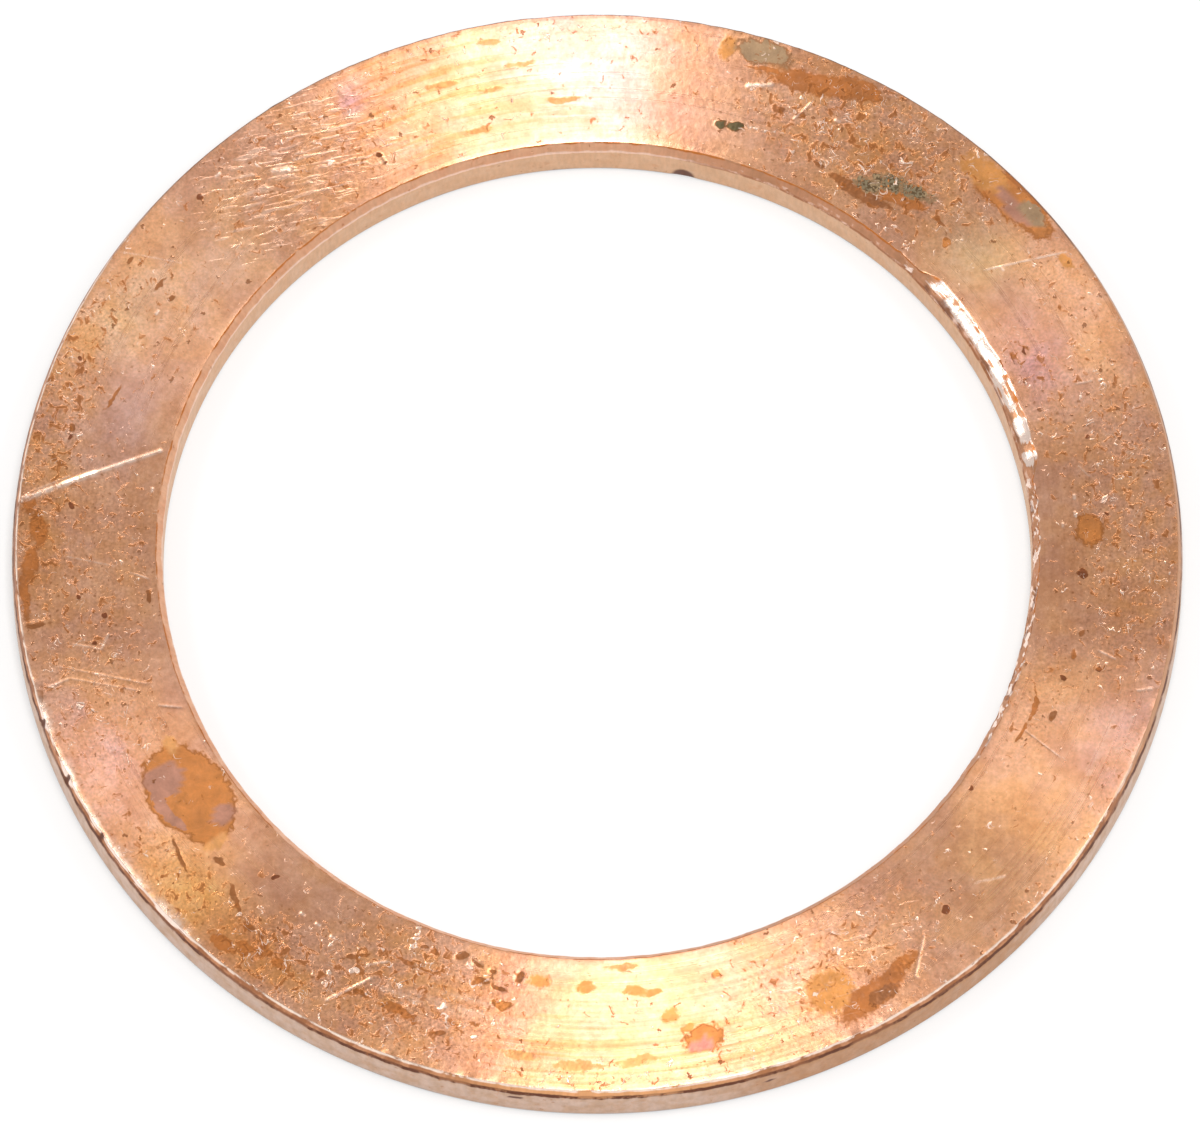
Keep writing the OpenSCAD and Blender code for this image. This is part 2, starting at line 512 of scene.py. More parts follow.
def stain_face(ring):
    """Stores the strongest stain at each point: its colour, its strength as alpha, and whether its edge is crisp."""
    layer = ring.verts.layers.float_color.new("stain")
    crisp_layer = ring.verts.layers.float.new("crisp")
    crisp = [Vector(colour) for colour in (ORANGE, VIOLET, WATER, GREEN, RED_BROWN)]
    dark = [Vector(colour) for colour in (RUST, BROWN)]
    flat = [(Vector(colour), stain, polar(stain[0], stain[1]), max(stain[2:4]) * MM)
            for colour, stains in STAINS for stain in stains]
    for vert in ring.verts:
        best, best_colour = 0.0, Vector(TARNISHED)
        if on_top(vert.co) or vert.co.xy.length > OUTER_R - 2 * RIM_BEVEL_W:
            spot = warped(vert.co.xy)
            for colour, stain, middle, reach in flat:
                if (spot - middle).length < reach:
                    half = min(stain[2:4]) / 2
                    edge = CRISP_EDGE if colour in crisp else SOFT_EDGE
                    strength = 0.5 + 0.5 * (1 - off_stain(spot, stain)) * half / min(half, edge)
                    if strength > min(best, 0.55):
                        best_colour = colour
                    best = max(best, strength)
        vert[layer] = (*best_colour, min(1.0, best))
        vert[crisp_layer] = 1.0 if best_colour in crisp else 0.5 if best_colour in dark else 0.0


def tint_face(ring):
    """Stores the soft tint of the copper at each point, and as alpha how strongly its lines carry the painted gold
    streaks of the highlight fans.
    """
    layer = ring.verts.layers.float_color.new("tint")
    for vert in ring.verts:
        tint = Vector((1.0, 1.0, 1.0))
        turn = turn_of(vert.co)
        radius = vert.co.xy.length / MM
        for angle, middle, half_long, half_high, colour in OXIDE_AND_SHEEN_TINTS:
            away = math.hypot(turn_gap(turn, angle) / half_long, (radius - middle) / half_high)
            if away < 2.2:
                share = math.exp(-away * away * 0.9)
                tint = Vector([t * (1 + (c - 1) * share) for t, c in zip(tint, colour)])
        fan_streaks = 0.0
        for angle, middle, half_long, half_high, amount in FAN_STREAK_ZONES:
            away = math.hypot(turn_gap(turn, angle) / half_long, (radius - middle) / half_high)
            fan_streaks = max(fan_streaks, amount * math.exp(-away ** 4 * 0.7))
        vert[layer] = (*tint, fan_streaks)


def hoop_noise(turn, detail, seed, height=0.0):
    """Smooth noise round the ring from -1 to 1, with no seam."""
    angle = math.radians(turn)
    return noise.noise(Vector((math.cos(angle) * detail, math.sin(angle) * detail, seed + height)))


def share_within(turn, stretch, fade):
    """0 outside a stretch of angles and 1 well inside it."""
    middle, half = (stretch[0] + stretch[1]) / 2, (stretch[1] - stretch[0]) / 2
    return max(0.0, min(1.0, (half - turn_gap(turn, middle)) / fade))


def nearness(co, radius, height, reach):
    """1 at a ring edge and 0 farther from it than reach."""
    return max(0.0, 1 - math.hypot(co.xy.length - radius, co.z - height) / reach)


def wear_rim(co, turn, outward):
    """The rim's upper edge wanders a little and has small dents. Gives back how brightly it is rubbed."""
    near = nearness(co, OUTER_R - RIM_BEVEL_W, THICK, 0.26 * MM)
    if not near:
        return 0.0
    wander = 0.5 + 0.5 * hoop_noise(turn, 26, 3.1) + 0.3 * hoop_noise(turn, 90, 8.4)
    co.xy -= outward * wander * 0.045 * MM * near
    co.z -= max(0.0, hoop_noise(turn, 60, 5.7) + 0.4 * hoop_noise(turn, 150, 2.7)) * 0.022 * MM * near
    rubbed = share_within(turn, BRIGHT_RIM, 6) * (0.7 + 1.1 * hoop_noise(turn, 40, 6.6))
    return max(0.0, min(1.0, rubbed * near * 2))


def flatten_bevel(co, outward, flat):
    """Turns the bore's bevel into a wide, gently sloping facet with a steep foot."""
    corner = BORE_R + BORE_BEVEL_W
    radius, depth = co.xy.length, THICK - co.z
    foot_r, foot_depth, foot_share = FACET_FOOT
    if depth > BORE_BEVEL_H:
        return
    if radius > corner and depth < 0.001 * MM:
        wider, deeper = radius + (FACET_TOP - BORE_BEVEL_W) * max(0.0, 1 - (radius - corner) / FACET_FADE), depth
    else:
        share = depth / BORE_BEVEL_H
        if share < foot_share:
            along = share / foot_share
            wider = BORE_R + FACET_TOP + (foot_r - FACET_TOP) * along
            deeper = foot_depth * along
        else:
            along = (share - foot_share) / (1 - foot_share)
            wider = BORE_R + foot_r * (1 - along)
            deeper = foot_depth + (BORE_BEVEL_H - foot_depth) * along
    co.xy += outward * (wider - radius) * flat
    co.z -= (deeper - depth) * flat


def wear_bore(co, turn, outward):
    """The bore's bevel is lumpy all round, and in the torn stretch it is bitten, then hammered flat and bright.

    Gives back how bright and how dark the metal is at this point.
    """
    near = nearness(co, BORE_R + BORE_BEVEL_W / 2, THICK - BORE_BEVEL_H / 2, 0.45 * MM)
    if co.xy.length > BORE_R + BORE_BEVEL_W + FACET_FADE:
        return 0.0, 0.0
    level = co.z / MM
    share = (THICK - co.z) / BORE_BEVEL_H
    on_bevel = co.xy.length < BORE_R + BORE_BEVEL_W + 0.01 * MM and share < 1.05
    lumps = hoop_noise(turn, 30, 1.9, level * 2) + 0.6 * hoop_noise(turn, 90, 6.2, level * 3)
    torn = share_within(turn, TORN, 4)
    flat = min(1.0, share_within(turn, BURNISH, 3) * (1 + 0.4 * hoop_noise(turn, 14, 3.3)))
    flatten_bevel(co, outward, flat)
    co.xy += outward * (lumps + 0.6) * 0.022 * MM * near
    if not torn:
        return 0.0, 0.0
    rip = hoop_noise(turn, 42, 4.4, level * 3) + 0.6 * hoop_noise(turn, 130, 7.7, level * 5)
    crumple = hoop_noise(turn, 30, 2.2, level * 6) + 0.5 * hoop_noise(turn, 75, 5.1, level * 8)
    co.xy += outward * (0.03 + max(-0.3, rip) * 0.07 * (1 - 0.6 * flat)) * MM * near * torn
    if on_bevel:
        co.z -= max(0.0, 0.02 + 0.035 * crumple) * MM * (0.4 + 0.6 * flat) * torn * min(1.0, 4 * share)
    bright = flat * (0.75 + 1.2 * crumple) * (1.0 if share < 0.62 else 0.25)
    crack = hoop_noise(turn, 13, 8.8, level * 9) + 0.4 * rip
    dark = flat * (0.25 + 1.2 * crack) if share > 0.5 else flat * (1.2 * crack - 0.35)
    for angle, half_width in THREAD_BITES:
        slant = angle + (level - THICK / MM + 0.2) * 7.0 + hoop_noise(angle * 7, 3, 9.1) * 0.8
        bite = math.exp(-(turn_gap(turn, slant) / half_width) ** 2)
        co.xy += outward * 0.07 * MM * bite * near
        bright = max(bright, bite * (0.9 + 0.6 * rip) * (1 - flat))
    glint = hoop_noise(turn, 55, 9.9, level * 5) * (1 - flat)
    bright = max(bright, 3.5 * (glint - 0.12))
    dark = max(dark, 1.4 * (crack - 0.10) * (1 - flat))
    if not on_bevel:
        return 0.0, max(0.0, min(0.5, dark * 0.5)) * torn * near
    return max(0.0, min(1.0, bright)) * torn, max(0.0, min(0.52, dark)) * torn


def notch_walls(co, turn, outward):
    """Notches and bruises on the walls. Gives back how dark the notch is at this point."""
    dark = 0.0
    for side, angle, height, half_long, half_high, deep in WALL_NOTCHES:
        wall, inward = (BORE_R, -1) if side == "bore" else (OUTER_R, 1)
        if abs(co.xy.length - wall) < 0.16 * MM:
            along = math.radians(turn_gap(turn, angle)) * wall / (half_long * MM)
            away = math.hypot(along, (co.z / MM - height) / half_high)
            hollow = max(0.0, min(1.0, 1.8 * (1 - away)))
            co.xy -= outward * inward * deep * MM * hollow
            dark = max(dark, hollow)
    return dark


def wear_edges(ring):
    """Makes the bevels and walls uneven, and stores where they are burnished and where they are dark."""
    bright_layer = ring.verts.layers.float.get("cut")
    dark_layer = ring.verts.layers.float.new("notch")
    for vert in ring.verts:
        co = vert.co
        turn = turn_of(co)
        outward = co.xy.normalized()
        if co.z > THICK / 2:
            bright, dark = wear_bore(co, turn, outward)
            vert[bright_layer] = max(vert[bright_layer], bright, wear_rim(co, turn, outward))
            vert[dark_layer] = dark
        vert[dark_layer] = max(vert[dark_layer], notch_walls(co, turn, outward))


def map_wear(ring):
    """Stores how much dirt, rubbing and nicks there are at each point, and how much crust as alpha."""
    crusts = next(stains for colour, stains in STAINS if colour == CRUST)
    layer = ring.verts.layers.float_color.new("wear")
    for vert in ring.verts:
        amounts = [0.05, 0.0, 0.06]
        turn = turn_of(vert.co)
        radius = vert.co.xy.length / MM
        for angle, middle, half_long, half_high, *zone in WEAR:
            away = math.hypot(turn_gap(turn, angle) / half_long, (radius - middle) / half_high)
            if away < 2.2:
                share = math.exp(-away ** 4 * 0.5)
                amounts = [max(a, z * share) for a, z in zip(amounts, zone)]
        vert[layer] = (*amounts, max(max(0.0, 1.3 - off_stain(vert.co.xy, stain)) for stain in crusts))


def build_washer():
    """The whole visual ring as one closed mesh."""
    lines = scratch_lines()
    ring = turned_ring()
    divide_bands(ring)
    refine_marks(ring, lines)
    for face in ring.faces:
        face.smooth = True
        radius = face.calc_center_median().xy.length
        flat = BORE_R + BORE_BEVEL_W < radius < OUTER_R - RIM_BEVEL_W and abs(face.normal.z) > 0.9
        face.material_index = 0 if flat else 1
    stain_face(ring)
    tint_face(ring)
    map_wear(ring)
    cut_scratches(ring, lines)
    polish_hoops(ring)
    sink_specks(ring)
    wear_edges(ring)
    mesh = bpy.data.meshes.new("copper_ring")
    ring.to_mesh(mesh)
    ring.free()
    washer = bpy.data.objects.new("copper_ring", mesh)
    bpy.context.scene.collection.objects.link(washer)
    return washer


# ================================================================ node helpers
def add(tree, kind, inputs=None, **settings):
    """A new node. inputs maps a socket's name or number to a value or to another node's output."""
    made = tree.nodes.new(kind)
    for name, value in settings.items():
        setattr(made, name, value)
    for key, value in (inputs or {}).items():
        if isinstance(value, bpy.types.NodeSocket):
            tree.links.new(value, made.inputs[key])
        else:
            made.inputs[key].default_value = value
    return made


def maths(tree, operation, *values, clamp=False):
    """A number worked out from others."""
    made = add(tree, "ShaderNodeMath", dict(enumerate(values)), operation=operation, use_clamp=clamp)
    return made.outputs[0]


def vector_maths(tree, operation, *values):
    """A vector worked out from others."""
    return add(tree, "ShaderNodeVectorMath", dict(enumerate(values)), operation=operation).outputs[0]


def remap(tree, value, low, high, to_low=0.0, to_high=1.0, kind="SMOOTHSTEP"):
    """A number moved from one range to another, with soft ends."""
    inputs = {"Value": value, "From Min": low, "From Max": high, "To Min": to_low, "To Max": to_high}
    return add(tree, "ShaderNodeMapRange", inputs, interpolation_type=kind).outputs[0]


def mix_number(tree, amount, first, second):
    """One number laid over another."""
    return add(tree, "ShaderNodeMix", {0: amount, 2: first, 3: second}, data_type="FLOAT").outputs[0]


def mix(tree, amount, first, second, kind="MIX"):
    """One colour laid over another."""
    first = (*first, 1) if isinstance(first, tuple) else first
    second = (*second, 1) if isinstance(second, tuple) else second
    made = add(tree, "ShaderNodeMix", {0: amount, 6: first, 7: second}, data_type="RGBA", blend_type=kind)
    return made.outputs[2]


def new_group(name, inputs, outputs):
    """An empty shader group with named sockets, and its two ends."""
    tree = bpy.data.node_groups.new(name, "ShaderNodeTree")
    for label, kind, value in inputs:
        socket = tree.interface.new_socket(label, in_out="INPUT", socket_type="NodeSocket" + kind)
        if value is not None:
            socket.default_value = value
    for label, kind in outputs:
        tree.interface.new_socket(label, in_out="OUTPUT", socket_type="NodeSocket" + kind)
    return tree, tree.nodes.new("NodeGroupInput").outputs, tree.nodes.new("NodeGroupOutput").inputs


def place_group(tree, group, **inputs):
    """Places a group in a tree and gives back its outputs."""
    made = tree.nodes.new("ShaderNodeGroup")
    made.node_tree = group
    for name, value in inputs.items():
        key = name.replace("_", " ")
        if isinstance(value, bpy.types.NodeSocket):
            tree.links.new(value, made.inputs[key])
        else:
            made.inputs[key].default_value = value
    return made.outputs


# ================================================================ shared effects
def ring_place_group():
    """Where a point is on the ring, in millimetres: plain, and unrolled so that a pattern runs round it."""
    tree, given, out = new_group(
        "Ring place", [("Along", "Float", 10.0), ("Across", "Float", 20.0)],
        [("Plain", "Vector"), ("Turned", "Vector"), ("Radius", "Float"), ("Height", "Float")])
    spot = add(tree, "ShaderNodeTexCoord").outputs["Object"]
    plain = vector_maths(tree, "MULTIPLY", spot, (1 / MM, 1 / MM, 1 / MM))
    part = add(tree, "ShaderNodeSeparateXYZ", {0: plain}).outputs
    flat = add(tree, "ShaderNodeCombineXYZ", {0: part[0], 1: part[1]}).outputs[0]
    radius = add(tree, "ShaderNodeVectorMath", {0: flat}, operation="LENGTH").outputs["Value"]
    round_scale = maths(tree, "DIVIDE", given["Along"], radius)
    level = maths(tree, "MULTIPLY", maths(tree, "ADD", radius, part[2]), given["Across"])
    turned = add(tree, "ShaderNodeCombineXYZ", {
        0: maths(tree, "MULTIPLY", part[0], round_scale),
        1: maths(tree, "MULTIPLY", part[1], round_scale),
        2: level}).outputs[0]
    for label, value in (("Plain", plain), ("Turned", turned), ("Radius", radius), ("Height", part[2])):
        tree.links.new(value, out[label])
    return tree


def specks_group(dimensions):
    """Scattered round specks. Share is how many of the places that could hold one do."""
    tree, given, out = new_group(
        "Specks " + dimensions, [("Place", "Vector", None), ("Scale", "Float", 2.0), ("Size", "Float", 0.2),
                   ("Share", "Float", 0.5), ("Ragged", "Float", 0.1)],
        [("Mask", "Float"), ("Chance", "Float")])
    jitter = add(tree, "ShaderNodeTexNoise", {"Vector": given["Place"], "Scale": 9.0, "Detail": 1.0},
                 noise_dimensions=dimensions)
    shake = vector_maths(tree, "SCALE", vector_maths(tree, "SUBTRACT", jitter.outputs["Color"], (0.5, 0.5, 0.5)))
    shake.node.inputs["Scale"].default_value = 1.0
    tree.links.new(given["Ragged"], shake.node.inputs["Scale"])
    place = vector_maths(tree, "ADD", given["Place"], shake)
    cells = add(tree, "ShaderNodeTexVoronoi", {"Vector": place, "Scale": given["Scale"]},
                voronoi_dimensions=dimensions).outputs
    chance = add(tree, "ShaderNodeSeparateColor", {0: cells["Color"]}).outputs
    size = maths(tree, "MULTIPLY", given["Size"], remap(tree, chance[1], 0.0, 1.0, 0.35, 1.0, "LINEAR"))
    spot = remap(tree, maths(tree, "DIVIDE", cells["Distance"], size), 1.0, 0.55)
    there = maths(tree, "LESS_THAN", chance[0], given["Share"])
    tree.links.new(maths(tree, "MULTIPLY", spot, there), out["Mask"])
    tree.links.new(chance[2], out["Chance"])
    return tree


def curls_group():
    """Short curved nicks: pieces of the level lines of a slow noise, kept where a second noise is high."""
    tree, given, out = new_group("Curls", [("Place", "Vector", None), ("Amount", "Float", 0.5)],
                                 [("Mask", "Float")])
    slow = add(tree, "ShaderNodeTexNoise", {"Vector": given["Place"], "Scale": 2.8, "Detail": 1.0,
                                            "Distortion": 0.8}, noise_dimensions="2D").outputs["Fac"]
    line = remap(tree, maths(tree, "ABSOLUTE", maths(tree, "SUBTRACT", slow, 0.5)), 0.022, 0.008)
    other = vector_maths(tree, "ADD", given["Place"], (31.0, 17.0, 5.0))
    pieces = add(tree, "ShaderNodeTexNoise", {"Vector": other, "Scale": 2.4, "Detail": 2.0},
                 noise_dimensions="2D").outputs["Fac"]
    low = remap(tree, given["Amount"], 0.0, 1.0, 0.68, 0.49, "LINEAR")
    kept = remap(tree, maths(tree, "SUBTRACT", pieces, low), 0.0, 0.09)
    tree.links.new(maths(tree, "MULTIPLY", line, kept), out["Mask"])
    return tree


def rubs_group():
    """Straight dashes that all lie nearly one way, where something rubbed across the ring."""
    tree, given, out = new_group("Rubs", [("Place", "Vector", None), ("Turn", "Float", 0.0),
                                          ("Amount", "Float", 0.5)], [("Mask", "Float")])
    turned = add(tree, "ShaderNodeVectorRotate", {"Vector": given["Place"], "Angle": given["Turn"]},
                 rotation_type="Z_AXIS").outputs[0]
    stretched = vector_maths(tree, "MULTIPLY", turned, (1.2, 7.0, 1.0))
    dashes = add(tree, "ShaderNodeTexNoise", {"Vector": stretched, "Scale": 1.0, "Detail": 4.0,
                                              "Distortion": 0.4}, noise_dimensions="2D").outputs["Fac"]
    low = remap(tree, given["Amount"], 0.0, 1.0, 0.76, 0.46, "LINEAR")
    tree.links.new(remap(tree, maths(tree, "SUBTRACT", dashes, low), 0.0, 0.24), out["Mask"])
    return tree


def blots_group(dimensions):
    """Ragged blots of tarnish: the high ground of a rough noise. Amount says how much is covered."""
    tree, given, out = new_group("Blots " + dimensions, [("Place", "Vector", None), ("Scale", "Float", 3.0),
                                           ("Amount", "Float", 0.5)], [("Mask", "Float"), ("Core", "Float")])
    rough = add(tree, "ShaderNodeTexNoise", {"Vector": given["Place"], "Scale": given["Scale"], "Detail": 5.0,
                                             "Roughness": 0.64, "Distortion": 0.5},
                noise_dimensions=dimensions).outputs["Fac"]
    low = remap(tree, given["Amount"], 0.0, 1.0, 0.68, 0.515, "LINEAR")
    above = maths(tree, "SUBTRACT", rough, low)
    tree.links.new(remap(tree, above, 0.0, 0.05), out["Mask"])
    tree.links.new(remap(tree, above, 0.04, 0.12), out["Core"])
    return tree


def stain_group():
    """The stains kept in the mesh, with ragged edges, an outline and mottling."""
    tree, given, out = new_group(
        "Stains", [("Place", "Vector", None)], [("Color", "Color"), ("Mask", "Float"), ("Outline", "Float")])
    kept = add(tree, "ShaderNodeAttribute", attribute_name="stain").outputs
    wide = add(tree, "ShaderNodeTexNoise", {"Vector": given["Place"], "Scale": 1.7, "Detail": 6.0,
                                            "Roughness": 0.68, "Distortion": 0.3}).outputs["Fac"]
    fine = add(tree, "ShaderNodeTexNoise", {"Vector": given["Place"], "Scale": 6.5, "Detail": 3.0}).outputs["Fac"]
    shift = maths(tree, "ADD", maths(tree, "MULTIPLY_ADD", wide, 0.62, -0.31),
                  maths(tree, "MULTIPLY_ADD", fine, 0.34, -0.17))
    level = maths(tree, "ADD", kept["Alpha"], shift)
    there = maths(tree, "GREATER_THAN", kept["Alpha"], 0.2)
    crisp = add(tree, "ShaderNodeAttribute", attribute_name="crisp").outputs["Fac"]
    soft_mask = maths(tree, "MULTIPLY", remap(tree, level, 0.40, 0.66), remap(tree, fine, 0.30, 0.50, 0.72, 1.0))
    mask = mix_number(tree, crisp, soft_mask, remap(tree, level, 0.46, 0.60))
    mask = maths(tree, "MULTIPLY", there, mask)
    outline = maths(tree, "MULTIPLY", maths(tree, "MULTIPLY", mask, crisp), remap(tree, level, 0.66, 0.56))
    shade = remap(tree, wide, 0.3, 0.7, 1.28, 0.72, "LINEAR")
    colour = add(tree, "ShaderNodeVectorMath", {0: kept["Color"], "Scale": shade}, operation="SCALE").outputs[0]
    tree.links.new(colour, out["Color"])
    tree.links.new(mask, out["Mask"])
    tree.links.new(outline, out["Outline"])
    return tree


def shared_groups():
    """Every effect that both copper materials use."""
    return {"place": ring_place_group(), "curls": curls_group(), "rubs": rubs_group(), "stains": stain_group(),
            "flat specks": specks_group("2D"), "round specks": specks_group("3D"),
            "flat blots": blots_group("2D"), "round blots": blots_group("3D")}


# ================================================================ copper
def grain(tree, groups, along, across, detail=2.0):
    """Fine lines that run round the ring, as a number from 0 to 1."""
    turned = place_group(tree, groups["place"], Along=along, Across=across)["Turned"]
    return add(tree, "ShaderNodeTexNoise", {"Vector": turned, "Scale": 1.0, "Detail": detail,
                                            "Roughness": 0.6}).outputs["Fac"]


def tinted_copper(tree, plain, dashes):
    """Tarnished copper with slow patches, the soft tints of its oxide with some painted highlight among them, and
    turning lines tinted gold as painted streaks of the highlight fans.
    """
    patches = add(tree, "ShaderNodeTexNoise", {"Vector": plain, "Scale": 0.6, "Detail": 5.0,
                                               "Roughness": 0.62}).outputs["Fac"]
    hue = add(tree, "ShaderNodeTexNoise", {"Vector": plain, "Scale": 0.9, "Detail": 2.0}).outputs["Fac"]
    copper = mix(tree, remap(tree, patches, 0.35, 0.65), TARNISHED, TARNISHED_DARK)
    copper = mix(tree, 1.0, copper, mix(tree, remap(tree, hue, 0.35, 0.65), (1.03, 1.0, 0.91), (0.99, 1.0, 1.05)),
                 "MULTIPLY")
    tint = add(tree, "ShaderNodeAttribute", attribute_name="tint").outputs
    copper = mix(tree, 1.0, copper, tint["Color"], "MULTIPLY")
    # Painted highlight streaks: in the fan zones the turning lines are multiplied towards gold.
    fan_streaks = maths(tree, "MULTIPLY", remap(tree, dashes, 0.47, 0.62), tint["Alpha"])
    return mix(tree, fan_streaks, copper, (0.96, 0.72, 0.46), "MULTIPLY")


def turned_copper(groups):
    """The flat faces: fine turned grain, tarnish, stains, pits, nicks and scratches."""
    material = bpy.data.materials.new("turned_copper")
    material.use_nodes = True
    tree = material.node_tree
    shader = tree.nodes["Principled BSDF"]
    place = place_group(tree, groups["place"])
    plain = place["Plain"]
    fine = grain(tree, groups, 2.5, 22.0, 3.0)
    streaks = grain(tree, groups, 0.9, 7.0, 4.0)
    wear = add(tree, "ShaderNodeAttribute", attribute_name="wear")
    dirt, rubbing, nicks = add(tree, "ShaderNodeSeparateColor", {0: wear.outputs["Color"]}).outputs
    blots = place_group(tree, groups["flat blots"], Place=plain, Scale=3.2, Amount=dirt)
    pits = place_group(tree, groups["flat specks"], Place=plain, Scale=2.2, Size=0.20, Ragged=0.20,
                       Share=maths(tree, "MULTIPLY_ADD", dirt, 0.40, 0.02))["Mask"]
    dots = place_group(tree, groups["flat specks"], Place=plain, Scale=4.6, Size=0.26, Ragged=0.12,
                       Share=maths(tree, "MULTIPLY_ADD", dirt, 0.38, 0.01))["Mask"]
    curls = place_group(tree, groups["curls"], Place=plain, Amount=nicks)["Mask"]
    rubs = place_group(tree, groups["rubs"], Place=plain, Turn=-0.24, Amount=rubbing)["Mask"]
    stain = place_group(tree, groups["stains"], Place=plain)
    cut = add(tree, "ShaderNodeAttribute", attribute_name="cut").outputs["Fac"]
    uneven = add(tree, "ShaderNodeTexNoise", {"Vector": plain, "Scale": 4.0, "Detail": 4.0,
                                              "Roughness": 0.7}, noise_dimensions="2D").outputs["Fac"]
    cut = maths(tree, "MULTIPLY", cut, remap(tree, uneven, 0.36, 0.56, 0.35, 1.0))
    bright = maths(tree, "MAXIMUM", maths(tree, "MULTIPLY", curls, 0.85), maths(tree, "MULTIPLY", rubs, 0.35))

    colour = tinted_copper(tree, plain, grain(tree, groups, 4.5, 5.0, 5.0))
    fine_lumps = add(tree, "ShaderNodeTexNoise", {"Vector": plain, "Scale": 11.0, "Detail": 3.0},
                     noise_dimensions="2D").outputs["Fac"]
    mottle = mix(tree, remap(tree, uneven, 0.30, 0.70, kind="LINEAR"), (0.90, 0.855, 0.81), (1.08, 1.11, 1.15))
    colour = mix(tree, 1.0, colour, mottle, "MULTIPLY")
    speckle = maths(tree, "MULTIPLY", maths(tree, "SUBTRACT", fine_lumps, 0.5), maths(tree, "ADD", dirt, 0.2))
    speckle = maths(tree, "MULTIPLY_ADD", speckle, 1.1, 1.0)
    colour = add(tree, "ShaderNodeVectorMath", {0: colour, "Scale": speckle}, operation="SCALE").outputs[0]
    haze = add(tree, "ShaderNodeTexNoise", {"Vector": plain, "Scale": 1.5, "Detail": 4.0}).outputs["Fac"]
    hazy = maths(tree, "MULTIPLY", maths(tree, "MULTIPLY", remap(tree, haze, 0.40, 0.64), dirt), 0.45)
    colour = mix(tree, hazy, colour, AMBER)
    colour = mix(tree, maths(tree, "MULTIPLY", stain["Mask"], 0.86), colour, stain["Color"])
    colour = mix(tree, maths(tree, "MULTIPLY", stain["Outline"], 0.72), colour, BROWN)
    colour = mix(tree, maths(tree, "MULTIPLY", blots["Mask"], 0.62), colour, RUST)
    colour = mix(tree, maths(tree, "MULTIPLY", blots["Core"], 0.70), colour, BROWN)
    colour = mix(tree, maths(tree, "MULTIPLY", dots, 0.55), colour, BROWN)
    colour = mix(tree, maths(tree, "MULTIPLY", pits, 0.75), colour, PIT)
    crusted = maths(tree, "ADD", wear.outputs["Alpha"], maths(tree, "MULTIPLY_ADD", uneven, 2.4, -1.2))
    crusted = maths(tree, "MULTIPLY_ADD", fine_lumps, 1.0, maths(tree, "SUBTRACT", crusted, 0.5))
    crusted = maths(tree, "MULTIPLY", remap(tree, crusted, 0.34, 0.60), remap(tree, wear.outputs["Alpha"], 0.02, 0.20))
    crust = mix(tree, remap(tree, haze, 0.42, 0.60), CRUST, CRUST_GREY)
    crust = mix(tree, remap(tree, fine_lumps, 0.56, 0.44), crust, CRUST_DARK)
    crust = mix(tree, maths(tree, "MULTIPLY", dots, 0.8), crust, RUST)
    crust = mix(tree, remap(tree, crusted, 0.9, 0.4, 0.0, 0.8), crust, BROWN)
    colour = mix(tree, crusted, colour, crust)
    colour = mix(tree, bright, colour, FRESH)
    colour = mix(tree, cut, colour, FRESH)
    part = add(tree, "ShaderNodeSeparateXYZ", {0: plain}).outputs
    # Painted at the face's outer edge: a pale highlight on the near half and a dark shade line on the far half, left
    # out on the right-hand stretch.
    brink = remap(tree, place["Radius"], (OUTER_R - RIM_BEVEL_W) / MM - 0.07, (OUTER_R - RIM_BEVEL_W) / MM - 0.01)
    brink = maths(tree, "MULTIPLY", brink, remap(tree, haze, 0.40, 0.50, 0.3, 0.85))
    brink = maths(tree, "MULTIPLY", brink, maths(tree, "SUBTRACT", 1.0, clean_rim(tree, part)))
    far = remap(tree, maths(tree, "MULTIPLY_ADD", part[0], 0.5, part[1]), 0.0, 6.0)
    colour = mix(tree, brink, colour, mix(tree, far, BURR_HIGHLIGHT, PAINTED_SHADE_LINE))
    tree.links.new(colour, shader.inputs["Base Color"])

    rough = remap(tree, streaks, 0.34, 0.66, 0.24, 0.44, "LINEAR")
    dull = maths(tree, "MAXIMUM", stain["Mask"], maths(tree, "MAXIMUM", blots["Mask"], pits))
    rough = mix_number(tree, stain["Mask"], rough, 0.42)
    rough = maths(tree, "ADD", rough, maths(tree, "MULTIPLY", dull, 0.14))
    rough = maths(tree, "MULTIPLY_ADD", crusted, 0.25, rough)
    tree.links.new(rough, shader.inputs["Roughness"])
    metal = maths(tree, "SUBTRACT", 1.0, maths(tree, "MULTIPLY", maths(tree, "MAXIMUM", dull, crusted), 0.25))
    metal = maths(tree, "SUBTRACT", metal, maths(tree, "MULTIPLY", crusted, 0.5))
    tree.links.new(metal, shader.inputs["Metallic"])

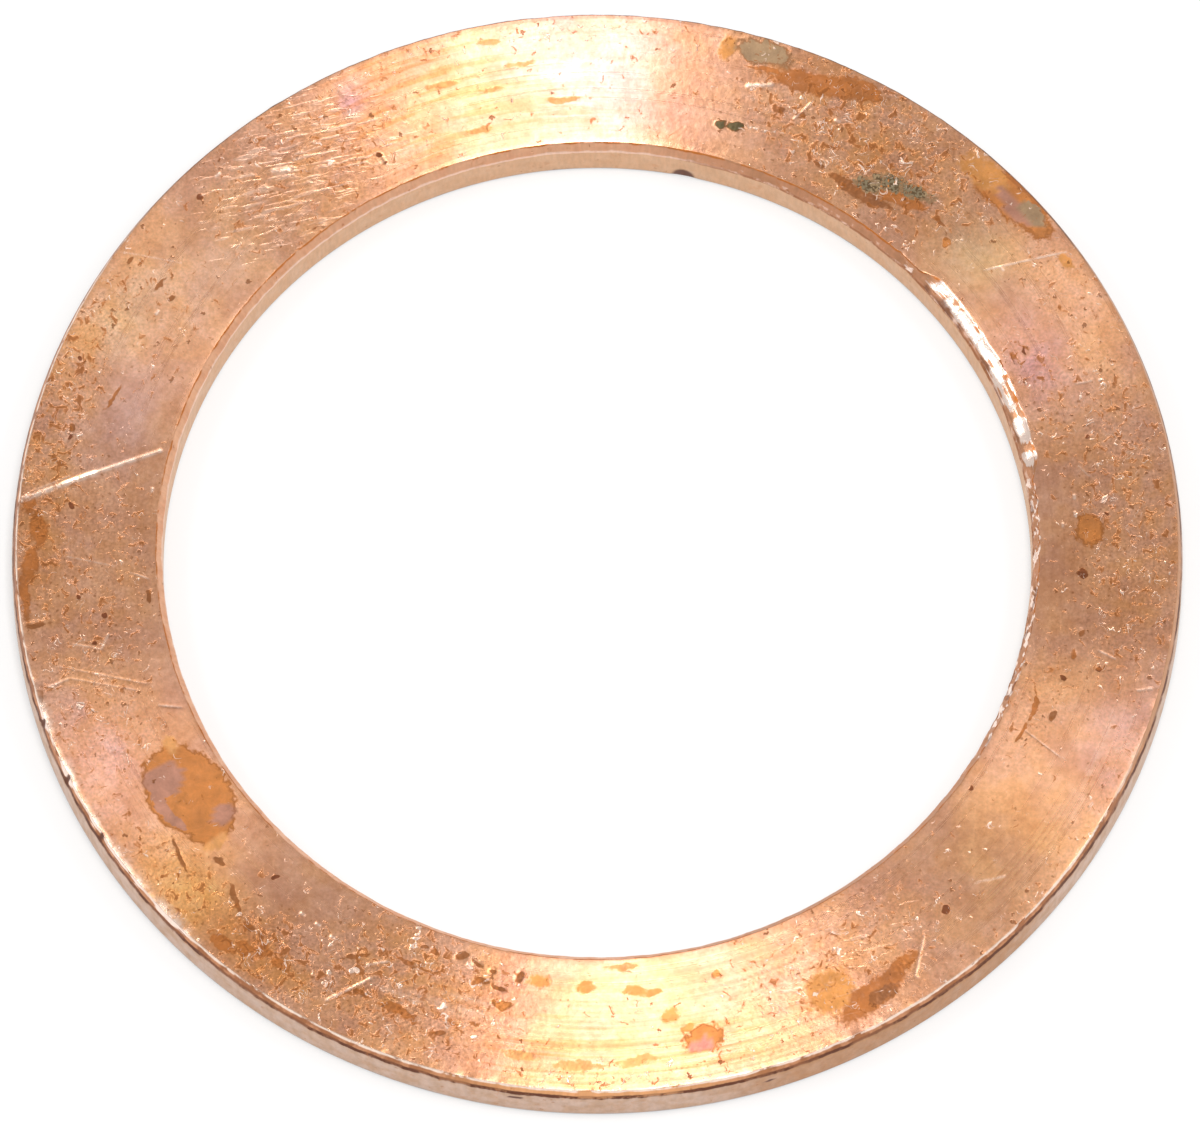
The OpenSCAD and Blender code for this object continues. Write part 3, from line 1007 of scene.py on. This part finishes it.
    lumps = add(tree, "ShaderNodeTexNoise", {"Vector": plain, "Scale": 5.0, "Detail": 3.0}).outputs["Fac"]
    height = maths(tree, "MULTIPLY", fine, 0.5)
    height = maths(tree, "MULTIPLY_ADD", streaks, 1.2, height)
    height = maths(tree, "MULTIPLY", height, maths(tree, "MULTIPLY_ADD", stain["Mask"], -0.75, 1.0))
    height = maths(tree, "ADD", height, maths(tree, "MULTIPLY", lumps, 1.2))
    height = maths(tree, "SUBTRACT", height, maths(tree, "MULTIPLY", pits, 1.6))
    height = maths(tree, "SUBTRACT", height, maths(tree, "MULTIPLY", blots["Mask"], 0.8))
    height = maths(tree, "SUBTRACT", height, maths(tree, "MULTIPLY", curls, 2.0))
    height = maths(tree, "SUBTRACT", height, maths(tree, "MULTIPLY", rubs, 1.4))
    height = maths(tree, "ADD", height, maths(tree, "MULTIPLY", maths(tree, "MULTIPLY", crusted, fine_lumps), 5.0))
    bump = add(tree, "ShaderNodeBump", {"Strength": 1.0, "Distance": 0.003 * MM, "Height": height})
    tree.links.new(bump.outputs[0], shader.inputs["Normal"])

    shader.inputs["Specular IOR Level"].default_value = 0.15
    shader.inputs["Anisotropic"].default_value = 1.0
    shader.inputs["Anisotropic Rotation"].default_value = 0.25
    tangent = add(tree, "ShaderNodeTangent", direction_type="RADIAL", axis="Z")
    tree.links.new(tangent.outputs[0], shader.inputs["Tangent"])
    return material


def band(tree, height, middle, half):
    """1 in a thin band of height, fading to 0 at its sides."""
    away = maths(tree, "ABSOLUTE", maths(tree, "SUBTRACT", height, middle))
    return remap(tree, away, half, half * 0.5)


def clean_rim(tree, part):
    """1 on the right-hand stretch of the rim, whose corner gets neither the painted highlight nor the painted shade
    line.
    """
    upper = remap(tree, part[1], 10.5, 8.0)
    lower = remap(tree, part[1], -9.0, -5.0)
    return maths(tree, "MULTIPLY", remap(tree, part[0], 8.0, 13.0), maths(tree, "MULTIPLY", upper, lower))


def rim_colour(tree, level, wobble, broken, far, part):
    """The rim: a pale wall, a red-brown bevel with a dark line below, and at the top corner a painted highlight on the
    near half and a painted shade line on the far half.
    """
    foot, top = (THICK - RIM_BEVEL_H) / MM + RIM_BAND_LIFT, THICK / MM
    worn = mix(tree, remap(tree, wobble, 0.35, 0.68), RIM_WALL, RIM_WALL_DARK)
    stained = maths(tree, "MULTIPLY", remap(tree, part[0], 2.5, 6.5), remap(tree, part[1], -10.5, -13.0))
    worn = mix(tree, maths(tree, "MULTIPLY", stained, 0.85), worn, RIM_WALL_BROWN)
    bevel = mix(tree, remap(tree, wobble, 0.44, 0.60), RIM_BEVEL, RIM_BEVEL_PALE)
    bright = maths(tree, "MULTIPLY", remap(tree, maths(tree, "ABSOLUTE", part[0]), 6.0, 1.5), 0.75)
    bevel = mix(tree, bright, bevel, RIM_BEVEL_GOLD)
    clean = clean_rim(tree, part)
    bevel = mix(tree, clean, bevel, RIM_BEVEL_PLAIN)
    colour = mix(tree, remap(tree, level, foot - 0.02, foot + 0.04), worn, bevel)
    line = maths(tree, "MULTIPLY", band(tree, level, foot + 0.05, 0.10), remap(tree, broken, 0.40, 0.55, 0.45, 1.0))
    colour = mix(tree, line, colour, DARK_LINE)
    # Painted at the rim's top corner: a highlight on the near half and a shade line on the far half.
    corner_light_and_shade = maths(tree, "MULTIPLY", remap(tree, level, top - 0.12, top - 0.05), remap(tree, broken, 0.36, 0.48))
    corner_light_and_shade = maths(tree, "MULTIPLY", corner_light_and_shade, maths(tree, "SUBTRACT", 1.0, clean))
    return mix(tree, corner_light_and_shade, colour, mix(tree, far, BURR_HIGHLIGHT, PAINTED_SHADE_LINE))


def bore_colour(tree, level, wobble, broken, part):
    """The bore: a smooth tan wall, a painted highlight line at the bevel's foot, the bevel pink to brown, painted
    glints above its foot on the right-hand side, and a rusty line along the face.
    """
    foot, top = (THICK - BORE_BEVEL_H) / MM, THICK / MM
    side = remap(tree, part[0], 0.5, 5.0)
    bevel = mix(tree, side, BORE_BEVEL_PALE, BORE_BEVEL)
    bevel = mix(tree, remap(tree, wobble, 0.40, 0.60, 0.0, 0.45), bevel, TARNISHED_DARK)
    colour = mix(tree, remap(tree, level, foot - 0.02, foot + 0.03), BORE_WALL, bevel)
    # Painted highlight: a pale line along the bevel's foot, where its rounded corner catches the light.
    colour = mix(tree, band(tree, level, foot - 0.02, 0.06), colour, RIDGE_HIGHLIGHT)
    seam = maths(tree, "MULTIPLY", band(tree, level, foot - 0.04, 0.09), remap(tree, broken, 0.40, 0.54, 0.15, 0.9))
    colour = mix(tree, maths(tree, "MULTIPLY", seam, side), colour, BROWN)
    # Painted highlight: broken glints a little above the foot, on the right-hand side only.
    glint = maths(tree, "MULTIPLY", band(tree, level, foot + 0.10, 0.05), remap(tree, wobble, 0.57, 0.66, 0.0, 0.8))
    colour = mix(tree, maths(tree, "MULTIPLY", glint, side), colour, RIDGE_HIGHLIGHT)
    rusty = maths(tree, "MULTIPLY", remap(tree, level, top - 0.07, top - 0.02), remap(tree, broken, 0.40, 0.50))
    return mix(tree, rusty, colour, RUST)


def edge_copper(groups):
    """The bevels and walls: sheared metal, paler and duller than the faces."""
    material = bpy.data.materials.new("edge_copper")
    material.use_nodes = True
    tree = material.node_tree
    shader = tree.nodes["Principled BSDF"]
    place = place_group(tree, groups["place"])
    plain, height_mm = place["Plain"], place["Height"]
    shear = grain(tree, groups, 110.0, 2.0, 2.0)
    hoops = grain(tree, groups, 14.0, 14.0, 3.0)
    wobble = add(tree, "ShaderNodeTexNoise", {"Vector": plain, "Scale": 2.2, "Detail": 5.0}).outputs["Fac"]
    broken = add(tree, "ShaderNodeTexNoise", {"Vector": plain, "Scale": 1.1, "Detail": 4.0,
                                              "Roughness": 0.7}).outputs["Fac"]
    pits = place_group(tree, groups["round specks"], Place=plain, Scale=3.0, Size=0.22, Share=0.35, Ragged=0.16)["Mask"]
    blots = place_group(tree, groups["round blots"], Place=plain, Scale=2.6, Amount=0.45)
    cut = add(tree, "ShaderNodeAttribute", attribute_name="cut").outputs["Fac"]
    notch = add(tree, "ShaderNodeAttribute", attribute_name="notch").outputs["Fac"]
    part = add(tree, "ShaderNodeSeparateXYZ", {0: plain}).outputs
    # far runs from 0 on the near half to 1 on the far half, from painted highlight to painted shade at the rim's
    # corner.
    far = remap(tree, maths(tree, "MULTIPLY_ADD", part[0], 0.5, part[1]), 0.0, 6.0)

    level = maths(tree, "ADD", height_mm, maths(tree, "MULTIPLY_ADD", wobble, 0.16, -0.08))
    on_rim = maths(tree, "GREATER_THAN", place["Radius"], (OUTER_R + BORE_R) / 2 / MM)
    colour = mix(tree, on_rim, bore_colour(tree, level, wobble, broken, part),
                 rim_colour(tree, level, wobble, broken, far, part))
    colour = mix(tree, maths(tree, "MULTIPLY", blots["Mask"], 0.22), colour, RUST)
    colour = mix(tree, maths(tree, "MULTIPLY", pits, 0.45), colour, BROWN)
    # Painted shade: a dark line along the foot of both walls, where they meet the table.
    colour = mix(tree, remap(tree, level, 0.11, 0.03), colour, PAINTED_SHADE_LINE)
    drawn = grain(tree, groups, 1.8, 15.0, 4.0)
    shine = maths(tree, "ADD", cut, maths(tree, "MULTIPLY_ADD", drawn, 1.6, -0.8))
    shine = maths(tree, "MULTIPLY", remap(tree, shine, 0.35, 0.60), remap(tree, cut, 0.15, 0.30))
    colour = mix(tree, shine, colour, BURNISHED)
    colour = mix(tree, remap(tree, notch, 0.2, 0.7), colour, DARK_LINE)
    streak = remap(tree, shear, 0.35, 0.65, 0.94, 1.05, "LINEAR")
    colour = add(tree, "ShaderNodeVectorMath", {0: colour, "Scale": streak}, operation="SCALE").outputs[0]
    tree.links.new(colour, shader.inputs["Base Color"])
    rough = mix_number(tree, shine, remap(tree, wobble, 0.3, 0.7, 0.34, 0.54, "LINEAR"), 0.24)
    tree.links.new(rough, shader.inputs["Roughness"])
    metal = remap(tree, notch, 0.2, 0.7, 1.0, 0.3)
    tree.links.new(metal, shader.inputs["Metallic"])

    lumps = add(tree, "ShaderNodeTexNoise", {"Vector": plain, "Scale": 8.0, "Detail": 3.0}).outputs["Fac"]
    height = maths(tree, "ADD", maths(tree, "MULTIPLY", hoops, 1.0), maths(tree, "MULTIPLY", shear, 1.0))
    height = maths(tree, "ADD", height, maths(tree, "MULTIPLY", lumps, 2.0))
    height = maths(tree, "SUBTRACT", height, maths(tree, "MULTIPLY", pits, 2.0))
    bump = add(tree, "ShaderNodeBump", {"Strength": 1.0, "Distance": 0.004 * MM, "Height": height})
    tree.links.new(bump.outputs[0], shader.inputs["Normal"])
    shader.inputs["Specular IOR Level"].default_value = 0.15
    shader.inputs["Anisotropic"].default_value = 0.3
    shader.inputs["Anisotropic Rotation"].default_value = 0.25
    tangent = add(tree, "ShaderNodeTangent", direction_type="RADIAL", axis="Z")
    tree.links.new(tangent.outputs[0], shader.inputs["Tangent"])
    return material


# ================================================================ stage
def white_table():
    """Plain pale table top that glows a little, so that it stays white."""
    material = bpy.data.materials.new("white_table")
    material.use_nodes = True
    shader = material.node_tree.nodes["Principled BSDF"]
    shader.inputs["Base Color"].default_value = (0.48, 0.48, 0.48, 1)
    shader.inputs["Roughness"].default_value = 0.9
    shader.inputs["Specular IOR Level"].default_value = 0.0
    shader.inputs["Emission Color"].default_value = (1, 1, 1, 1)
    shader.inputs["Emission Strength"].default_value = 0.42
    return material


def softbox(name, place, size, radiance, aim=(0, 0, 0)):
    """A rectangular lamp that looks equally bright from any distance: radiance is that brightness."""
    light = bpy.data.lights.new(name, "AREA")
    light.shape = "RECTANGLE"
    light.size, light.size_y = size
    light.energy = radiance * math.pi * size[0] * size[1]
    lamp = bpy.data.objects.new(name, light)
    back = (Vector(place) - Vector(aim)).normalized()
    upper = back.cross(Vector((1, 0, 0))).normalized()
    lamp.location = place
    lamp.rotation_euler = Matrix((upper.cross(back), upper, back)).transposed().to_euler()
    bpy.context.scene.collection.objects.link(lamp)
    return lamp


def make_floor():
    """The table that the washer lies on."""
    sheet = bmesh.new()
    bmesh.ops.create_grid(sheet, x_segments=1, y_segments=1, size=FLOOR_SIZE / 2)
    bmesh.ops.translate(sheet, verts=sheet.verts, vec=(0, 0, RING_LOW.z - 0.01 * MM))
    mesh = bpy.data.meshes.new("table")
    sheet.to_mesh(mesh)
    sheet.free()
    floor = bpy.data.objects.new("table", mesh)
    bpy.context.scene.collection.objects.link(floor)
    mesh.materials.append(white_table())


def make_light():
    """A pale room, a softbox overhead and one on each side."""
    world = bpy.data.worlds.new("studio")
    bpy.context.scene.world = world
    world.use_nodes = True
    background = world.node_tree.nodes["Background"]
    background.inputs["Color"].default_value = (1, 1, 1, 1)
    background.inputs["Strength"].default_value = 0.66
    softbox("key_box", (0.025, -0.06, 0.40), (0.105, 0.20), 13.5)
    softbox("left_box", (-0.25, 0.02, 0.36), (0.11, 0.12), 6.0)
    softbox("right_box", (0.25, 0.02, 0.36), (0.11, 0.12), 6.0)
    bpy.context.scene.view_settings.view_transform = "Standard"


def make_camera():
    """A long lens looking down on the washer from the front."""
    rise = math.radians(CAMERA_ELEVATION)
    back = Vector((0, -math.cos(rise), math.sin(rise)))
    upward = Vector((0, math.sin(rise), math.cos(rise)))
    aim = Vector((AIM_RIGHT, 0, 0)) + upward * AIM_UP
    camera = bpy.data.objects.new("camera", bpy.data.cameras.new("camera"))
    camera.data.sensor_width = 36.0
    camera.data.lens = CAMERA_LENS
    camera.data.clip_start, camera.data.clip_end = 0.01, 100.0
    camera.location = aim + back * CAMERA_DISTANCE
    camera.rotation_mode = "QUATERNION"
    camera.rotation_quaternion = (-back).to_track_quat("-Z", "Y")
    bpy.context.scene.collection.objects.link(camera)
    bpy.context.scene.camera = camera


make_camera()
make_light()
make_floor()
washer = build_washer()
effects = shared_groups()
washer.data.materials.append(turned_copper(effects))
washer.data.materials.append(edge_copper(effects))
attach(washer, "root")
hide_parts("washer")
